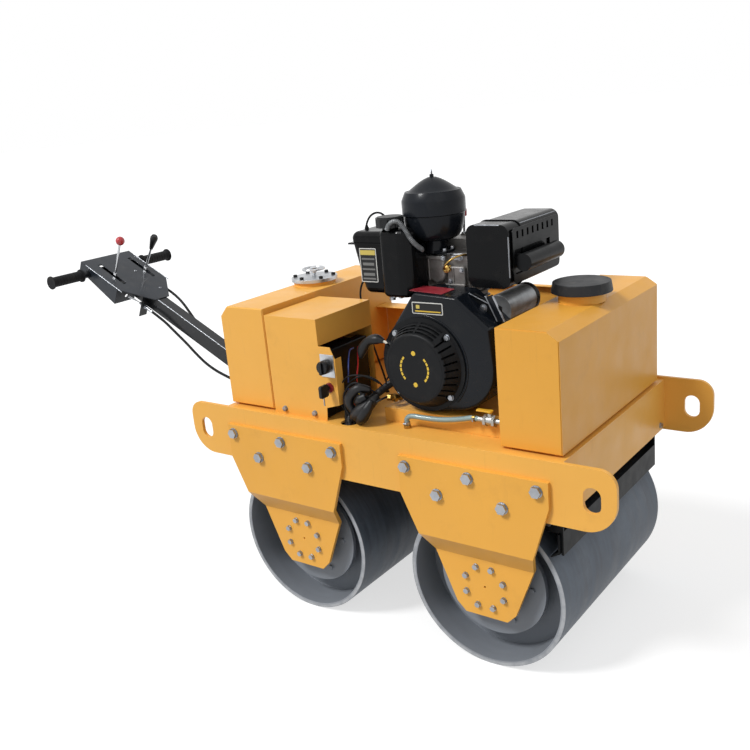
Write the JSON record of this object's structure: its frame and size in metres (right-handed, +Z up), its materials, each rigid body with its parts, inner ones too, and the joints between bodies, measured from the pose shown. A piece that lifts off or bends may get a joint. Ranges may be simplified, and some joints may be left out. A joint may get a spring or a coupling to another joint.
{
  "type": "walk-behind double drum roller",
  "caption": "Walk-behind double drum roller with a diesel engine between two water tanks and a folding steering handle with travel and vibration levers.",
  "frame": {"origin": "on the ground below the middle of the whole machine's bounding box, handle included", "axes": "+X to the front, away from the handle; +Y to the side of the hydraulic pump; +Z up"},
  "size_m": [2.0218, 0.702, 1.196],
  "materials": {
    "yellow_paint": "semi-gloss powder coat",
    "drum_steel": "dark grey paint worn on the rolling face",
    "zinc_steel": "bright zinc",
    "machined_steel": "machined",
    "black_paint": "semi-gloss black",
    "cast_metal": "grey casting paint",
    "black_plastic": "matt moulded",
    "black_rubber": "matt rubber",
    "legend_metal": "satin",
    "brass": "cast and machined",
    "red_plastic": "gloss red",
    "knob_plastic": "satin black",
    "rope_fibre": "braided cord"
  },
  "bodies": {
    "frame": {"side_plates": "yellow_paint", "cross_members": "yellow_paint", "deck_plate": "yellow_paint", "engine_base": "yellow_paint", "drum_brackets": "yellow_paint", "bracket_bolts": "zinc_steel", "axle_stubs": "machined_steel", "drum_motors": "cast_metal", "drum_bearings": "machined_steel", "scraper_bars": "black_paint", "scraper_blades": "black_paint", "spray_pipes": "machined_steel", "front_tank": "yellow_paint", "water_valve": "brass", "water_hose": "black_rubber", "rear_tank": "yellow_paint", "filler_flange": "zinc_steel", "small_bolts": "zinc_steel", "battery_cover": "yellow_paint", "battery": "black_plastic", "switch_panel": "legend_metal", "wiring_harness": "black_rubber", "crankcase": "cast_metal", "cylinder_block": "cast_metal", "rocker_cover": "cast_metal", "blower_housing": "black_paint", "recoil_housing": "black_paint", "recoil_rope": "rope_fibre", "fuel_tank": "black_paint", "air_filter": "black_paint", "air_filter_lid": "black_paint", "muffler": "black_paint", "muffler_guard": "black_paint", "starter_motor": "black_paint", "drive_belt": "black_rubber", "belt_guard": "yellow_paint", "hydraulic_pump": "cast_metal", "exciter_housing": "black_paint", "control_cables": "black_rubber"},
    "rear_drum_body": {"rear_drum": "drum_steel"},
    "front_drum_body": {"front_drum": "drum_steel"},
    "tank_lid": {"front_tank_lid": "black_plastic"},
    "water_tap": {"valve_handle": "red_plastic"},
    "filler_wheel": {"filler_handwheel": "zinc_steel"},
    "switch_knob": {"main_switch": "black_plastic"},
    "key": {"ignition_key": "black_plastic"},
    "pull_grip": {"recoil_grip": "black_plastic"},
    "crank": {"crankshaft": "machined_steel", "flywheel": "cast_metal"},
    "exciter": {"exciter_shaft": "machined_steel"},
    "fuel_lid": {"fuel_cap": "black_plastic"},
    "speed_lever": {"throttle_lever": "machined_steel"},
    "decompressor": {"decompression_lever": "red_plastic"},
    "handle": {"handle_arm": "black_paint", "handle_pins": "zinc_steel", "control_box": "black_paint", "handlebar": "black_paint", "handle_grips": "black_rubber"},
    "travel_control": {"travel_lever": "red_plastic"},
    "vibration_control": {"vibration_lever": "knob_plastic"}
  },
  "joints": [
    {"name": "rear_drum_spin", "type": "hinge", "parent": "frame", "child": "rear_drum_body", "pos_m": [0.07795, 0, 0.2125], "axis": [0, 1, 0], "continuous": true},
    {"name": "front_drum_spin", "type": "hinge", "parent": "frame", "child": "front_drum_body", "pos_m": [0.65795, 0, 0.2125], "axis": [0, 1, 0], "continuous": true},
    {"name": "handle_fold", "type": "hinge", "parent": "frame", "child": "handle", "pos_m": [-0.21205, 0, 0.502], "axis": [0, 1, 0], "range_deg": [0, 60], "deforming": ["control_cables"]},
    {"name": "travel_lever_swing", "type": "hinge", "parent": "handle", "child": "travel_control", "pos_m": [-0.90522, 0, 0.8331], "axis": [0, 1, 0], "range_deg": [-25, 25]},
    {"name": "vibration_lever_swing", "type": "hinge", "parent": "handle", "child": "vibration_control", "pos_m": [-0.90522, 0, 0.8331], "axis": [0, 1, 0], "range_deg": [-25, 25]},
    {"name": "crank_spin", "type": "hinge", "parent": "frame", "child": "crank", "pos_m": [0.48395, 0, 0.743], "axis": [0, 1, 0], "continuous": true},
    {"name": "exciter_spin", "type": "hinge", "parent": "frame", "child": "exciter", "pos_m": [0.48395, 0, 0.455], "axis": [0, 1, 0], "continuous": true},
    {"name": "main_switch_turn", "type": "hinge", "parent": "frame", "child": "switch_knob", "pos_m": [0.23345, 0, 0.734], "axis": [0, 1, 0], "range_deg": [0, 90]},
    {"name": "key_turn", "type": "hinge", "parent": "frame", "child": "key", "pos_m": [0.23345, 0, 0.676], "axis": [0, 1, 0], "range_deg": [0, 90]},
    {"name": "speed_lever_swing", "type": "hinge", "parent": "frame", "child": "speed_lever", "pos_m": [0.37795, 0, 0.695], "axis": [0, 1, 0], "range_deg": [-15, 35]},
    {"name": "decompression_turn", "type": "hinge", "parent": "frame", "child": "decompressor", "pos_m": [0.48395, -0.008, 1.022], "axis": [0, 0, 1], "range_deg": [0, 60]},
    {"name": "recoil_pull", "type": "slide", "parent": "frame", "child": "pull_grip", "axis": [-0.2516, -0.8554, 0.4528], "range_m": [0, 0.55], "stiffness_N_per_m": 8, "springref_m": -0.3, "deforming": ["recoil_rope"]},
    {"name": "tank_lid_turn", "type": "hinge", "parent": "frame", "child": "tank_lid", "pos_m": [0.79495, 0, 0.9], "axis": [0, 0, 1], "range_deg": [0, 360]},
    {"name": "fuel_cap_turn", "type": "hinge", "parent": "frame", "child": "fuel_lid", "pos_m": [0.38395, -0.186, 1.071], "axis": [0, 0, 1], "range_deg": [0, 360]},
    {"name": "filler_wheel_turn", "type": "hinge", "parent": "frame", "child": "filler_wheel", "pos_m": [-0.06105, 0.026, 0.9], "axis": [0, 0, 1], "range_deg": [0, 720]},
    {"name": "water_tap_turn", "type": "hinge", "parent": "frame", "child": "water_tap", "pos_m": [0.67095, -0.25, 0.629], "axis": [0, 0, 1], "range_deg": [0, 90]}
  ],
  "couplings": [
    {"joint": "front_drum_spin", "follows": "rear_drum_spin", "ratio": 1},
    {"joint": "exciter_spin", "follows": "crank_spin", "ratio": 1}
  ]
}
